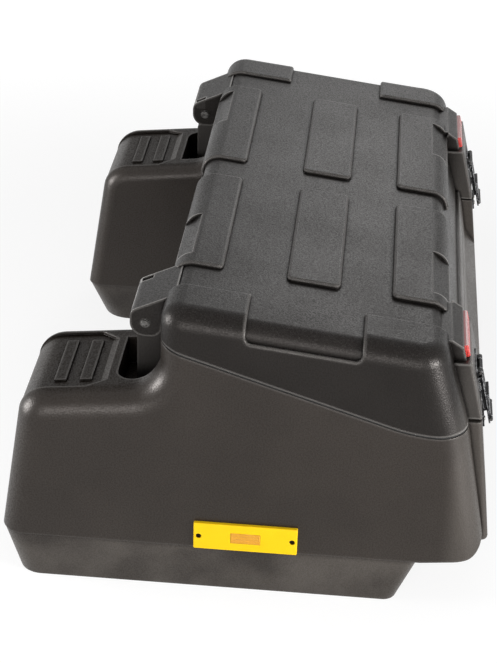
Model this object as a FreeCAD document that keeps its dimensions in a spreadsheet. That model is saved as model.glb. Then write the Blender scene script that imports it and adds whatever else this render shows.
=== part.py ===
import FreeCAD, Part
import math
import os
import re
import Sketcher

# Rear cargo box of an all-terrain vehicle: X runs across the vehicle, +Y points to its front and +Z up.
# The origin lies on the ground plane of the box, under the middle of its outline. Lengths are in mm.

DIMENSIONS = {
    # Tub: a tapered band rises from the underside to a low crease, with upright ends above it
    "half_width": 500, "end_taper": 11, "half_base": "=half_width - end_taper",
    "crease_height": 80, "crease_step": 1,
    "front_crease": 361.5, "front_taper": 21.5, "front_base": "=front_crease - front_taper",
    "front_lean": 35.5, "front_shoulder": "=front_crease - front_lean",
    "wing_width": 212, "gap_half": "=half_width - wing_width", "gap_taper": 23, "gap_base": "=gap_half + gap_taper",
    "body_front": 125, "gap_rear": "=body_front - crease_step",
    "rear_crease": 357, "overhang": 95, "overhang_rise": 10, "rear_band": "=rear_crease - overhang",
    "rear_taper": 31, "rear_base": "=rear_band - rear_taper",
    "rear_lean": 41.5, "rear_rim": "=rear_crease - rear_lean",
    "end_radius": 36, "wing_radius": 24, "wing_base_radius": 50, "rear_radius": 46, "gap_radius": 10, "band_radius": 20,
    "overhang_radius": 25, "wall": 6, "wing_skin": 13,
    # Wing tops, the sweep from them up to the body, and the sloping rim
    "rim_front_height": 411.5, "rim_fall": 116.5, "rim_rear_height": "=rim_front_height - rim_fall",
    "knee_back": 75.5, "rim_knee": "=rear_rim - knee_back", "rim_knee_radius": 240,
    "shoulder_drop": 97, "shoulder_height": "=rim_front_height - shoulder_drop",
    "wing_rise": 21.5, "wing_rear_height": "=shoulder_height + wing_rise", "brow_radius": 46, "sweep_radius": 50,
    # Hinge trough behind each wing top
    "trough_length": 67, "trough_front": "=body_front + trough_length",
    "trough_side": 39, "trough_inner": "=gap_half + trough_side",
    "trough_end": 48, "trough_outer": "=half_width - trough_end",
    "trough_depth": 52, "trough_floor": "=wing_rear_height - trough_depth", "trough_radius": 26,
    # Ribbed tread recess in each wing top
    "tread_margin": 21, "tread_inner": "=gap_half + tread_margin",
    "tread_end": 33, "tread_outer": "=half_width - tread_end",
    "tread_step_inner": 30, "tread_rear_inner": "=tread_inner + tread_step_inner",
    "tread_step_outer": 22, "tread_rear_outer": "=tread_outer - tread_step_outer",
    "tread_behind": 13, "tread_rear": "=trough_front + tread_behind", "tread_ramp": 9,
    "tread_slant": 28, "tread_jog": "=tread_rear + tread_slant", "tread_depth": 5, "tread_brow": 42, "tread_turn": 8,
    "rib_count": 2, "rib_pitch": 37.5, "rib_width": 18, "rib_height": 3, "rib_start": 22.5,
    "rib_first": "=tread_rear + rib_start", "rib_edge": 1.2, "rib_inset": 22,
    # Latch mounts on the lid, flush with a raised panel on the tub's rear wall
    "mount_end": 68, "mount_outer": "=half_width - mount_end",
    "mount_width": 122, "mount_inner": "=mount_outer - mount_width",
    "mount_rise": 92, "mount_ledge": "=rim_rear_height + mount_rise",
    "mount_stand": 19.5, "mount_foot": "=rear_rim + mount_stand",
    "mount_run": 22, "mount_top": "=mount_foot - mount_run", "mount_edge": 4, "mount_flare": 11,
    "panel_margin": 5, "panel_half": "=mount_outer + mount_flare + panel_margin", "panel_top": "=mount_foot",
    "panel_waist_drop": 110, "panel_waist_height": "=rim_rear_height - panel_waist_drop",
    "panel_waist_run": 15, "panel_waist": "=panel_top + panel_waist_run",
    "panel_stand": 4.5, "panel_low": "=rear_crease + panel_stand",
    "panel_low_rise": 11, "panel_low_height": "=crease_height + panel_low_rise",
    "panel_tuck": 16, "panel_foot": "=rear_crease - panel_tuck",
    "panel_foot_rise": 5, "panel_foot_height": "=crease_height + panel_foot_rise",
    "panel_radius": 8, "scoop_top_drop": 34, "scoop_drop": 84,
    # Lid: a plain skin with raised pads, above a gap for the seal
    "lid_gap": 3, "lid_front_rise": 63.5, "lid_front_height": "=rim_front_height + lid_front_rise",
    "lid_rear_rise": 134, "lid_rear_height": "=rim_rear_height + lid_rear_rise",
    "lid_run": 41, "lid_rear_top": "=rear_rim - lid_run",
    "lid_radius": 30, "lid_raise": 6.5, "lid_wall": 5, "belt_height": 14,
    "pad_inner": 33.5, "pad_end": 155, "pad_outer": "=half_width - pad_end", "pad_radius": 9, "pad_edge": 4.4,
    "front_pad_depth": 75, "front_pad_edge": "=body_front - front_pad_depth",
    "front_pad_drop": 39, "front_pad_skirt": "=lid_front_height - front_pad_drop",
    "middle_pad_front": 42, "middle_pad_rear": 120.5,
    "rear_pad_depth": 120, "rear_pad_edge": "=rear_rim - rear_pad_depth",
    "rear_pad_drop": 31, "rear_pad_skirt": "=lid_rear_height - rear_pad_drop",
    "end_pad_width": 89, "end_pad_inner": "=half_width - end_pad_width",
    "end_pad_front": 3.5, "end_pad_rear": 158, "end_notch_depth": 32,
    "notch_margin": 30, "notch_outer": "=pad_outer - notch_margin",
    "notch_width": 130, "notch_inner": "=notch_outer - notch_width", "notch_depth": 5.5,
    # Lid hinges: a hooded ear on the lid turns on a pin held by a bracket on the tub
    "ear_end": 65, "ear_outer": "=half_width - ear_end", "ear_width": 99, "ear_inner": "=ear_outer - ear_width",
    "pin_reach": 26.5, "pin_forward": "=body_front + pin_reach",
    "pin_rise": 4, "pin_height": "=rim_front_height + pin_rise",
    "ear_cheek": 17, "ear_depth": 17, "ear_root": "=body_front - ear_depth",
    "ear_drop": 11.5, "ear_root_height": "=lid_front_height - ear_drop", "ear_radius": 22,
    "ear_nose": "=pin_forward + ear_radius", "ear_nose_rise": 17.5, "ear_nose_height": "=pin_height + ear_nose_rise",
    "ear_nose_radius": 14, "ear_skin": 6, "ear_flat": 0.5, "ear_clear": 2, "ear_heel_radius": 16,
    "ear_slot_rear": "=body_front + ear_clear", "web_half": 16, "ear_notch_width": 10, "ear_notch_length": 16,
    "pin_radius": 5, "pin_running": 0.05, "pin_head_radius": 6.5,
    "pin_head": 4, "pin_play": 0.4, "clip_width": 2, "barrel_radius": 15, "foot_thickness": 6,
    "foot_drop": 14.5, "foot_top": "=pin_height - foot_drop", "foot_height": 67, "foot_bottom": "=foot_top - foot_height",
    "post_reach": 16.5, "post_front": "=pin_forward + post_reach", "post_drop": 37.5,
    "post_top": "=pin_height - post_drop", "neck_back": 4, "neck_drop": 29.5, "foot_screw_across": 22,
    "foot_screw_rise": 6, "foot_screw_low": "=foot_bottom + foot_screw_rise",
    "foot_screw_pitch": 36, "foot_screw_high": "=foot_screw_low + foot_screw_pitch",
    # Sloping crowns above the latch mounts, with a red reflector under each
    "crown_back": 8.5, "crown_top": "=lid_rear_top + crown_back",
    "crown_drop": 12, "crown_height": "=lid_rear_height - crown_drop",
    "crown_run": 17, "brow_reach": "=crown_top + crown_run", "crown_fall": 10.5,
    "brow_height": "=crown_height - crown_fall", "seat_run": 5, "crown_foot": "=brow_reach + seat_run",
    "reflector_thickness": 6, "reflector_margin": 9, "reflector_inset": 1, "reflector_edge": 1,
    # Draw latches: base, arm, lever and catch
    "plate_half": 27, "plate_thickness": 2, "plate_top": -30, "plate_length": 41,
    "knuckle_inner": 14, "knuckle_outer": 24, "knuckle_below": 13, "knuckle_drop": "=knuckle_below - plate_top",
    "knuckle_radius": 3.6, "link_clearance": 0.4,
    "knuckle_stand": "=plate_thickness + knuckle_radius + link_clearance",
    "link_pin_radius": 2, "arm_half": 22, "arm_thickness": 2.4, "arm_shoulder": 8,
    "catch_half": 22, "catch_thickness": 3, "catch_drop": 22, "catch_length": 18,
    "small_screw_radius": 3.5, "small_screw_head": 1.6, "small_screw_across": 17,
    "small_screw_margin": 7, "catch_screw_across": 13,
    "lug_radius": 3.2, "lug_width": 6, "lever_thickness": 2.2,
    "lever_stand": "=knuckle_stand + arm_thickness / 2 + link_clearance + lever_thickness / 2",
    "lever_drop": 122, "lever_half": 19, "lever_length": 38,
    "pin_tail": 1.5, "lever_lip": 2.5,
    # Side marker reflectors on the ends
    "marker_front": 71, "marker_rear": 81.5, "marker_rise": 1, "marker_bottom": "=crease_height + marker_rise",
    "marker_height": 45, "marker_thickness": 6,
    "marker_hole_radius": 4.2, "marker_hole_inset": 7.5, "marker_hole_depth": 3, "marker_lens_length": 44,
    "marker_lens_height": 18, "marker_lens_depth": 2, "marker_lens_proud": 0.6,
    "marker_lens_play": 0.2, "marker_corner": 2, "marker_edge": 1.5, "marker_screw_head": 2,
    # Fastening to a carrier: four plates with holes in the floor, and a drain
    "rack_half_across": 230, "rack_front": 70, "rack_rear": 170, "rack_hole_radius": 4.5,
    "rack_plate_half": 35, "rack_plate_corner": 6, "rack_plate_thickness": 3,
    "drain_back": 41, "drain_rear": "=rear_base - drain_back", "drain_radius": 12,
    "drain_flange_radius": 18, "drain_flange": 3, "drain_play": 0.1,
    # Seal in the gap under the lid
    "seal_inset": 1.2, "seal_width": 3.6, "seal_height": 2.6,
}

doc = FreeCAD.newDocument("cargo_box")
dims = doc.addObject("Spreadsheet::Sheet", "dims")
for row, (alias, size) in enumerate(DIMENSIONS.items(), start=1):
    dims.set(f"A{row}", alias)
    dims.set(f"B{row}", str(size))
    dims.setAlias(f"B{row}", alias)
doc.recompute()

X, Y, Z = FreeCAD.Vector(1, 0, 0), FreeCAD.Vector(0, 1, 0), FreeCAD.Vector(0, 0, 1)
SIDES = {"left": -1, "right": 1}


def bound(text):
    """The text of a size with each named dimension turned into a reference to its cell."""
    return re.sub(r"[a-z_]+", lambda m: f"dims.{m.group()}" if m.group() in DIMENSIONS else m.group(), text)


def value(text):
    """The number that a size works out to."""
    result = dims.evalExpression(bound(text))
    return float(getattr(result, "Value", result))


def plane(body, role):
    return next(f for f in body.Origin.OriginFeatures if f.Role == role)


def outline(body, name, role, offset, corners):
    """A closed sketch through corners (across, up, radius), attached to a plane of the body's origin.

    Every corner is a point held by two distances from the origin. Where it has a radius, a tangent arc
    replaces the corner and the two lines still aim at it.
    """
    sketch = body.newObject("Sketcher::SketchObject", name)
    sketch.AttachmentSupport = [(plane(body, role), "")]
    sketch.MapMode = "FlatFace"
    sketch.setExpression("AttachmentOffset.Base.z", bound(offset))
    points = [FreeCAD.Vector(value(u), value(v), 0) for u, v, _ in corners]
    radii = [value(r) if r else 0 for _, _, r in corners]
    count = len(corners)
    before, after, centres = [], [], []
    for i, point in enumerate(points):
        back = (points[i - 1] - point).normalize()
        ahead = (points[(i + 1) % count] - point).normalize()
        half = back.getAngle(ahead) / 2
        before.append(point + back * (radii[i] / math.tan(half)))
        after.append(point + ahead * (radii[i] / math.tan(half)))
        centres.append(point + (back + ahead).normalize() * (radii[i] / math.sin(half)) if radii[i] else None)
    lines = [sketch.addGeometry(Part.LineSegment(after[i], before[(i + 1) % count])) for i in range(count)]

    def hold(constraint, text):
        index = sketch.addConstraint(constraint)
        sketch.setExpression(f"Constraints[{index}]", bound(text))

    for i, (across, up, radius) in enumerate(corners):
        arriving, leaving = lines[i - 1], lines[i]
        if not radius:
            sketch.addConstraint(Sketcher.Constraint("Coincident", arriving, 2, leaving, 1))
            hold(Sketcher.Constraint("DistanceX", -1, 1, leaving, 1, points[i].x), across)
            hold(Sketcher.Constraint("DistanceY", -1, 1, leaving, 1, points[i].y), up)
            continue
        corner = sketch.addGeometry(Part.Point(points[i]), True)
        hold(Sketcher.Constraint("DistanceX", -1, 1, corner, 1, points[i].x), across)
        hold(Sketcher.Constraint("DistanceY", -1, 1, corner, 1, points[i].y), up)
        sketch.addConstraint(Sketcher.Constraint("PointOnObject", corner, 1, arriving))
        sketch.addConstraint(Sketcher.Constraint("PointOnObject", corner, 1, leaving))
        left = (points[i] - points[i - 1]).cross(points[(i + 1) % count] - points[i]).z > 0
        ends = [before[i] - centres[i], after[i] - centres[i]]
        angles = [math.atan2(e.y, e.x) for e in (ends if left else ends[::-1])]
        circle = Part.Circle(centres[i], Z, radii[i])
        arc = sketch.addGeometry(Part.ArcOfCircle(circle, angles[0], angles[1]))
        first, last = (1, 2) if left else (2, 1)
        sketch.addConstraint(Sketcher.Constraint("Tangent", arriving, 2, arc, first))
        sketch.addConstraint(Sketcher.Constraint("Tangent", arc, last, leaving, 1))
        hold(Sketcher.Constraint("Radius", arc, radii[i]), radius)
    return sketch


def padded(name, role, corners, start, end):
    """An outline on one plane of the origin, carried along the plane's normal from start to end."""
    body = doc.addObject("PartDesign::Body", name)
    pad = body.newObject("PartDesign::Pad", f"{name}_pad")
    pad.Profile = outline(body, f"{name}_outline", role, start, corners)
    pad.setExpression("Length", bound(f"({end}) - ({start})"))
    return body


def prism(name, corners, start, end):
    """A side outline (y, z, radius) carried along X."""
    return padded(name, "YZ_Plane", corners, start, end)


def slab(name, corners, bottom, top):
    """A level outline (x, y, radius) carried along Z."""
    return padded(name, "XY_Plane", corners, bottom, top)


def ruled(name, sections):
    """A solid whose straight walls join level outlines (height, corners)."""
    body = doc.addObject("PartDesign::Body", name)
    sketches = [outline(body, f"{name}_level_{i}", "XY_Plane", height, corners)
                for i, (height, corners) in enumerate(sections)]
    loft = body.newObject("PartDesign::AdditiveLoft", f"{name}_loft")
    loft.Profile = sketches[0]
    loft.Sections = sketches[1:]
    loft.Ruled = True
    return body


def rectangle(left, right, low, high, radius=None):
    """The four corners of an upright rectangle."""
    return [(left, low, radius), (right, low, radius), (right, high, radius), (left, high, radius)]


def box(name, x, y, z):
    """A Part::Box between two texts along each axis."""
    result = doc.addObject("Part::Box", name)
    for length, base, (low, high) in zip(("Length", "Width", "Height"), "xyz", (x, y, z)):
        result.setExpression(length, bound(f"({high}) - ({low})"))
        result.setExpression(f"Placement.Base.{base}", bound(low))
    return result


def rod(name, axis, radius, start, end, first, second):
    """A Part::Cylinder along X, Y or Z from start to end, at (first, second) on the two other axes."""
    result = doc.addObject("Part::Cylinder", name)
    result.setExpression("Radius", bound(radius))
    result.setExpression("Height", bound(f"({end}) - ({start})"))
    result.Placement.Rotation = FreeCAD.Rotation(Z, {"x": X, "y": Y, "z": Z}[axis])
    places = {"x": (start, first, second), "y": (first, start, second), "z": (first, second, start)}[axis]
    for base, text in zip("xyz", places):
        result.setExpression(f"Placement.Base.{base}", bound(text))
    return result


def joined(kind, name, base, tool):
    """Part::Cut or Part::Common of two objects."""
    result = doc.addObject(kind, name)
    result.Base = base
    result.Tool = tool
    return result


def fused(name, pieces):
    result = doc.addObject("Part::MultiFuse", name)
    result.Shapes = pieces
    return result


def grouped(name, pieces):
    result = doc.addObject("Part::Compound", name)
    result.Links = pieces
    return result


def placed(piece, x, y, z, lean=None):
    """Moves a piece from its own origin to a place, with its top tipped forward by a lean."""
    if lean:
        piece.Placement.Rotation = FreeCAD.Rotation(-X, 1)
        piece.setExpression("Placement.Rotation.Angle", bound(lean))
    for base, text in zip("xyz", (x, y, z)):
        piece.setExpression(f"Placement.Base.{base}", bound(text))
    return piece


def middle(edge):
    return edge.valueAt((edge.FirstParameter + edge.LastParameter) / 2)


def rounded(name, base, radius, chosen):
    """Rounds the edges of base for whose middle point chosen(point) holds."""
    doc.recompute()
    size = value(radius)
    result = doc.addObject("Part::Fillet", name)
    result.Base = base
    result.Edges = [(i, size, size) for i, edge in enumerate(base.Shape.Edges, start=1) if chosen(middle(edge))]
    return result


def finished(node, piece):
    """Gives the finished piece the name of its node."""
    piece.Label = node
    nodes.append(piece)
    return piece


def mirrored(hand, near, far):
    """The two ends along X of a stretch that lies between near and far on one side."""
    return (near, far) if hand > 0 else (f"-({far})", f"-({near})")


nodes = []


# Tub

def trough(name, side, grow):
    """The space of the trough under a lid hinge, from its outer end to the gap between the wings."""
    inner, far = f"{side} * (gap_half - gap_radius)", f"{side} * (trough_outer + {grow})"
    front, turn = f"trough_front + {grow}", f"trough_radius + {grow}"
    corners = [(inner, "body_front", None), (far, "body_front", turn), (far, front, turn), (inner, front, None)]
    return slab(name, corners[::side], f"trough_floor - {grow}", "rim_front_height + wall")


def tub_level(inset, rear, end, front, gap, corner):
    """The U-shaped outline of the lower band at one level, drawn in by inset."""
    e, f, g, r = f"({end} - {inset})", f"{front} - {inset}", f"({gap} + {inset})", f"-({rear} - {inset})"
    back, tail = f"gap_rear - {inset}", f"band_radius - {inset}"
    outer, inner, turn = f"end_radius - {inset}", f"{corner} - {inset}", f"gap_radius + {inset}"
    return [(f"-{e}", r, tail), (e, r, tail), (e, f, outer), (g, f, inner), (g, back, turn),
            (f"-{g}", back, turn), (f"-{g}", f, inner), (f"-{e}", f, outer)]


def tub_form(name, inset, skin, rim):
    """The tub's outside (inset 0) or its cavity (drawn in by the wall and open above the rim)."""
    end, gap, front = f"half_width - {inset}", f"gap_half + {inset}", f"body_front - {inset}"
    sill = f"crease_height + {inset}"
    lean = "rear_lean / (rim_rear_height - crease_height)"
    sill_rear = f"-(rear_crease - {inset} - {inset} * {lean})"
    tail_rear = f"-(rear_crease - {inset} - ({inset} + overhang_rise) * {lean})"
    side = prism(f"{name}_side", [
        (f"front_crease - {inset}", sill, None),
        (f"front_shoulder - {inset}", f"shoulder_height - {skin}", f"brow_radius - {inset}"),
        (front, f"wing_rear_height - {skin}", f"sweep_radius + {inset}"),
        (front, f"rim_front_height + {rim}", None),
        ("-rim_knee", f"rim_rear_height + {rim}", "rim_knee_radius"),
        (f"-(rear_rim - {inset} - ({rim}) * {lean})", f"rim_rear_height + {rim}", None),
        (sill_rear, sill, None)], f"-({end})", end)
    turn, beyond = f"gap_radius + {inset}", "front_crease + end_radius"
    back = f"gap_rear - {inset}"
    opening = slab(f"{name}_gap", [(f"-({gap})", back, turn), (gap, back, turn), (gap, beyond, None),
                                   (f"-({gap})", beyond, None)], "0", "rim_front_height + rim_rear_height")
    split = joined("Part::Cut", f"{name}_split", side, opening)
    low, edge_of_end, edge_of_gap = value(sill) + 1, value(end) - 0.01, value(gap) + 0.01
    ends = rounded(f"{name}_ends", split, f"end_radius - {inset}",
                   lambda p: abs(p.x) > edge_of_end and p.y > value(front) - 1 and p.z > low
                   and p.z < value(f"rim_front_height + {rim}") - 1)
    carved = ends
    for word, hand in SIDES.items():
        carved = joined("Part::Cut", f"{name}_carved_{word}", carved, trough(f"{name}_trough_{word}", hand, inset))
    wings = rounded(f"{name}_wings", carved, f"wing_radius - {inset}",
                    lambda p: abs(abs(p.x) - edge_of_gap) < 0.1 and p.z > low
                    and p.y > value(f"trough_front + {inset}") + 1)
    corners = rounded(f"{name}_corners", wings, f"rear_radius - {inset}",
                      lambda p: abs(p.x) > edge_of_end and p.z > low and p.y < value("-rim_knee")
                      and p.z < value(f"rim_rear_height + {rim}") - 1)
    high = "rim_front_height + rim_rear_height"
    rear_high = f"-(rear_crease - {inset} - ({high} - crease_height) * {lean})"
    sweep = prism(f"{name}_sweep", [
        (beyond, sill, None), (beyond, high, None), (rear_high, high, None),
        (tail_rear, f"{sill} + overhang_rise", f"overhang_radius - {inset}"), ("-rear_band", sill, None)],
        "-half_width - wall", "half_width + wall")
    upper = joined("Part::Common", f"{name}_upper", corners, sweep)
    band = ruled(f"{name}_band", [
        (inset, tub_level(inset, "rear_base", "half_base", "front_base", "gap_base", "wing_base_radius")),
        (sill, tub_level(f"({inset} + crease_step)", "rear_band", "half_width", "front_crease", "gap_half",
                         "wing_radius"))])
    return fused(f"{name}_form", [upper, band])


def wing_top(y):
    """The height of the wing tops' plane at a place fore and aft."""
    rise = "(wing_rear_height - shoulder_height) / (front_shoulder - body_front)"
    return f"(wing_rear_height - ({y} - body_front) * {rise})"


def trough_plug(word, hand):
    """The wall between a trough and the gap, which carries the wing top on to the body."""
    top, rear = "wing_rear_height + sweep_radius + wing_radius", "body_front - sweep_radius"
    floor = "trough_floor - wall / 2"
    block = prism(f"plug_block_{word}", [
        (rear, floor, None), ("trough_front", floor, None), ("trough_front", wing_top("trough_front"), None),
        ("body_front", "wing_rear_height", "sweep_radius"), ("body_front", top, None), (rear, top, None)],
        *mirrored(hand, "gap_half", "trough_inner"))
    return rounded(f"plug_{word}", block, "wing_radius",
                   lambda p: abs(abs(p.x) - value("gap_half")) < 0.01 and p.y > value("body_front") - 0.1
                   and value("trough_floor") + 1 < p.z < value(top) - 1 and p.y < value("trough_front") - 0.1)


def tread(word, hand):
    """The recess of a wing top, which runs out over the brow, with its cross ribs left standing."""
    inner, outer = f"{hand} * tread_inner", f"{hand} * tread_outer"
    rear_inner, rear_outer = f"{hand} * tread_rear_inner", f"{hand} * tread_rear_outer"
    beyond, high = "front_crease + wall", "rim_front_height"
    front_lean = "(front_crease - front_shoulder) / (shoulder_height - crease_height)"
    mouth = f"front_shoulder + tread_brow * {front_lean}"
    rear = "tread_rear - tread_ramp"
    corners = [(inner, beyond, None), (inner, "tread_jog", "tread_turn"), (rear_inner, rear, "tread_turn"),
               (rear_outer, rear, "tread_turn"), (outer, "tread_jog", "tread_turn"), (outer, beyond, None)]
    area = slab(f"tread_area_{word}", corners[::-hand], "crease_height", high)
    low, far = sorted((inner, outer), key=value)
    depth = prism(f"tread_depth_{word}", [
        (rear, f"{wing_top('tread_rear')} + tread_depth", None),
        ("tread_rear + tread_ramp", f"{wing_top('tread_rear + tread_ramp')} - tread_depth", None),
        ("front_shoulder - tread_depth / 2", "shoulder_height - tread_depth", "brow_radius"),
        (mouth, "shoulder_height - tread_brow", None),
        (beyond, "shoulder_height - tread_brow", None), (beyond, high, None), (rear, high, None)],
        low, far)
    recess = joined("Part::Common", f"tread_{word}", area, depth)
    ribs = []
    for i in range(int(value("rib_count"))):
        start = f"rib_first + {i} * rib_pitch"
        end = f"{start} + rib_width"
        floor, crest = "- tread_depth - wall / 2", "- tread_depth + rib_height"
        ribs.append(prism(f"rib_{word}_{i}", [
            (start, f"{wing_top(start)} {floor}", None), (end, f"{wing_top(end)} {floor}", None),
            (end, f"{wing_top(end)} {crest}", "rib_edge"), (start, f"{wing_top(start)} {crest}", "rib_edge")],
            f"{low} + rib_inset", f"{far} - rib_inset"))
    return joined("Part::Cut", f"tread_ribbed_{word}", recess, fused(f"ribs_{word}", ribs))


outside = tub_form("tub_outer", "0", "0", "0")
cavity = tub_form("tub_cavity", "wall", "wing_skin", "rim_rear_height")
panel_face = [("-panel_waist", "panel_waist_height", None), ("-panel_low", "panel_low_height", "panel_radius"),
              ("-panel_foot", "panel_foot_height", None), ("-(rear_rim - wall)", "panel_foot_height", None)]
scoop_reach = "panel_top + panel_waist_run * scoop_drop / panel_waist_drop"
panel = [prism("panel_middle", [
    ("-(rear_rim - wall)", "rim_rear_height - scoop_top_drop", None),
    (f"-({scoop_reach})", "rim_rear_height - scoop_drop", "panel_radius")] + panel_face,
    "-(mount_inner - mount_flare)", "mount_inner - mount_flare")]
for word, hand in SIDES.items():
    pillar = prism(f"pillar_block_{word}", [
        ("-(rear_rim - wall)", "rim_rear_height", None), ("-panel_top", "rim_rear_height", None)] + panel_face,
        *mirrored(hand, "mount_inner - mount_flare", "panel_half"))
    panel.append(rounded(f"pillar_{word}", pillar, "panel_radius",
                         lambda p: abs(p.x) > value("panel_half") - 0.01 and p.z < value("rim_rear_height") - 1
                         and p.y < value("-panel_top") - 1 and p.z > value("panel_low_height") + 1))
plugs = [trough_plug(word, hand) for word, hand in SIDES.items()]
shell = joined("Part::Cut", "tub_shell", fused("tub_solid", [outside] + panel + plugs), cavity)
treads = fused("treads", [tread(word, hand) for word, hand in SIDES.items()])
RACK = [(f"{hand} * rack_half_across", place) for hand in SIDES.values() for place in ("rack_front", "-rack_rear")]
holes = [rod(f"rack_hole_{i}", "z", "rack_hole_radius", "-wall", "wall * 2", x, y) for i, (x, y) in enumerate(RACK)]
holes.append(rod("drain_hole", "z", "drain_radius", "-wall", "wall * 2", "0", "-drain_rear"))
tub = finished("tub", joined("Part::Cut", "tub_body", shell, fused("tub_cuts", [treads] + holes)))


# Lid

RIM_SLOPE = "rim_fall / (body_front + rim_knee)"
LID_LEAN = "lid_run / lid_rear_rise"
LID_SLOPE = "(lid_front_height - lid_rear_height) / (body_front + lid_rear_top)"


def lid_form(name, inset, drop):
    """The lid's envelope, drawn in by inset, from a place above or below the rim."""
    end, front = f"half_width - {inset}", f"body_front - {inset}"
    side = prism(f"{name}_side", [
        (front, f"rim_front_height - {inset} * {RIM_SLOPE} + {drop}", None),
        (front, f"lid_front_height - {inset}", None),
        (f"-(lid_rear_top - {inset})", f"lid_rear_height - {inset}", None),
        (f"-(rear_rim - {inset} - ({drop}) * {LID_LEAN})", f"rim_rear_height + {drop}", None),
        ("-rim_knee", f"rim_rear_height + {drop}", "rim_knee_radius")], f"-({end})", end)
    edge = value(end) - 0.01
    fronts = rounded(f"{name}_fronts", side, f"end_radius - {inset}",
                     lambda p: abs(p.x) > edge and p.y > value(front) - 0.1)
    rears = rounded(f"{name}_rears", fronts, f"rear_radius - {inset}",
                    lambda p: abs(p.x) > edge and value(f"-(rear_rim - {inset})") < p.y < value("-lid_rear_top") + 1
                    and p.z > value(f"rim_rear_height + {drop}") + 1)
    return rounded(f"{name}_form", rears, f"lid_radius - {inset}",
                   lambda p: abs(p.z - value(f"lid_rear_height - {inset} + ({p.y} + lid_rear_top) * {LID_SLOPE}")) < 1.5)


def softened(name, base, radius, form):
    """Rounds the edges of base where a face that lies on the outside of form meets one that does not."""
    doc.recompute()
    outside_of_form = form.Shape.Shells[0]

    def on_form(face):
        u_low, u_high, v_low, v_high = face.ParameterRange
        spots = [face.valueAt(u_low + (u_high - u_low) * a, v_low + (v_high - v_low) * b)
                 for a, b in ((.5, .5), (.3, .4), (.7, .6), (.2, .8), (.8, .2))]
        inside = [spot for spot in spots if face.distToShape(Part.Vertex(spot))[0] < 1e-4]
        return outside_of_form.distToShape(Part.Vertex((inside + spots)[0]))[0] < 1e-3

    outer = [face for face in base.Shape.Faces if on_form(face)]
    size = value(radius)
    result = doc.addObject("Part::Fillet", name)
    result.Base = base
    chosen = []
    for i, edge in enumerate(base.Shape.Edges, start=1):
        owners = base.Shape.ancestorsOfType(edge, Part.Face)
        if len(owners) == 2 and sum(any(o.isSame(f) for f in outer) for o in owners) == 1:
            chosen.append((i, size, size))
    result.Edges = chosen
    return result


skin = lid_form("lid_skin", "lid_raise", "lid_gap")
relief = lid_form("lid_relief", "0", "lid_gap")
hollow = lid_form("lid_hollow", "(lid_raise + lid_wall)", "-rim_rear_height / 4")
belt = joined("Part::Cut", "lid_belt", relief, lid_form("belt_above", "(-lid_raise)", "lid_gap + belt_height"))
pad_rows = {"front": ("front_pad_edge", "body_front + wall", "front_pad_skirt"),
            "middle": ("-middle_pad_rear", "-middle_pad_front", "rim_front_height"),
            "rear": ("-(rear_rim + wall)", "-rear_pad_edge", "rear_pad_skirt")}
pads = []
for word, hand in SIDES.items():
    left, right = mirrored(hand, "pad_inner", "pad_outer")
    for row, (rear, front, skirt) in pad_rows.items():
        pads.append(slab(f"pad_{row}_{word}", rectangle(left, right, rear, front, "pad_radius"), skirt,
                         "lid_front_height + wall"))
    notch = [f"lid_rear_height + ({y} + lid_rear_top) * {LID_SLOPE} - end_notch_depth"
             for y in ("end_pad_front", "-end_pad_rear")]
    high, low = "lid_front_height + wall", "rim_rear_height"
    left, right = mirrored(hand, "end_pad_inner", "half_width + wall")
    pads.append(prism(f"end_relief_{word}", [
        ("body_front + wall", low, None), ("body_front + wall", high, None), ("end_pad_front", high, None),
        ("end_pad_front", notch[0], "pad_radius"), ("-end_pad_rear", notch[1], "pad_radius"),
        ("-end_pad_rear", high, None), ("-(rear_rim + wall)", high, None), ("-(rear_rim + wall)", low, None)],
        left, right))
raised = [softened(f"{pad.Name}_soft", joined("Part::Common", f"{pad.Name}_raised", relief, pad), "pad_edge", relief)
          for pad in pads]


def ear(word, hand):
    """The hooded ear of one hinge, before its slot and bore are cut."""
    low = "pin_height - ear_radius"
    return prism(f"ear_{word}", [
        ("ear_root", "rim_front_height + lid_gap", None), ("body_front + ear_clear", "rim_front_height + lid_gap", None),
        ("pin_forward - ear_radius", low, "ear_heel_radius"),
        ("ear_nose", low, "ear_radius - ear_flat"),
        ("ear_nose", "ear_nose_height", "ear_nose_radius"),
        ("ear_root", "ear_root_height", None)], *mirrored(hand, "ear_inner", "ear_outer"))


def ear_cuts(word, hand):
    """The slot that takes the bracket, the bore for the pin and the small notch in the hood."""
    slope = "(ear_root_height - ear_nose_height) / (ear_nose - ear_root)"
    beyond, low = "ear_nose + ear_radius", "pin_height - ear_radius - wall"
    ceiling = [f"ear_root_height - ({y} - ear_root) * {slope} - ear_skin" for y in (beyond, "ear_slot_rear")]
    slot = prism(f"ear_slot_{word}", [
        ("ear_slot_rear", low, None), (beyond, low, None), (beyond, ceiling[0], None),
        ("ear_slot_rear", ceiling[1], None)], *mirrored(hand, "ear_inner + ear_cheek", "ear_outer - ear_cheek"))
    bore = rod(f"ear_bore_{word}", "x", "pin_radius + pin_running",
               *mirrored(hand, "ear_inner - wall", "ear_outer + wall"), "pin_forward", "pin_height")
    margin = "(ear_cheek - ear_notch_width) / 2"
    notch = box(f"ear_notch_{word}",
                mirrored(hand, f"ear_inner + {margin}", f"ear_inner + ear_cheek - {margin}"),
                ("pin_forward", "pin_forward + ear_notch_length"),
                ("pin_height + pin_radius * 2", "lid_front_height + ear_nose_height"))
    return [slot, bore, notch]


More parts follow.
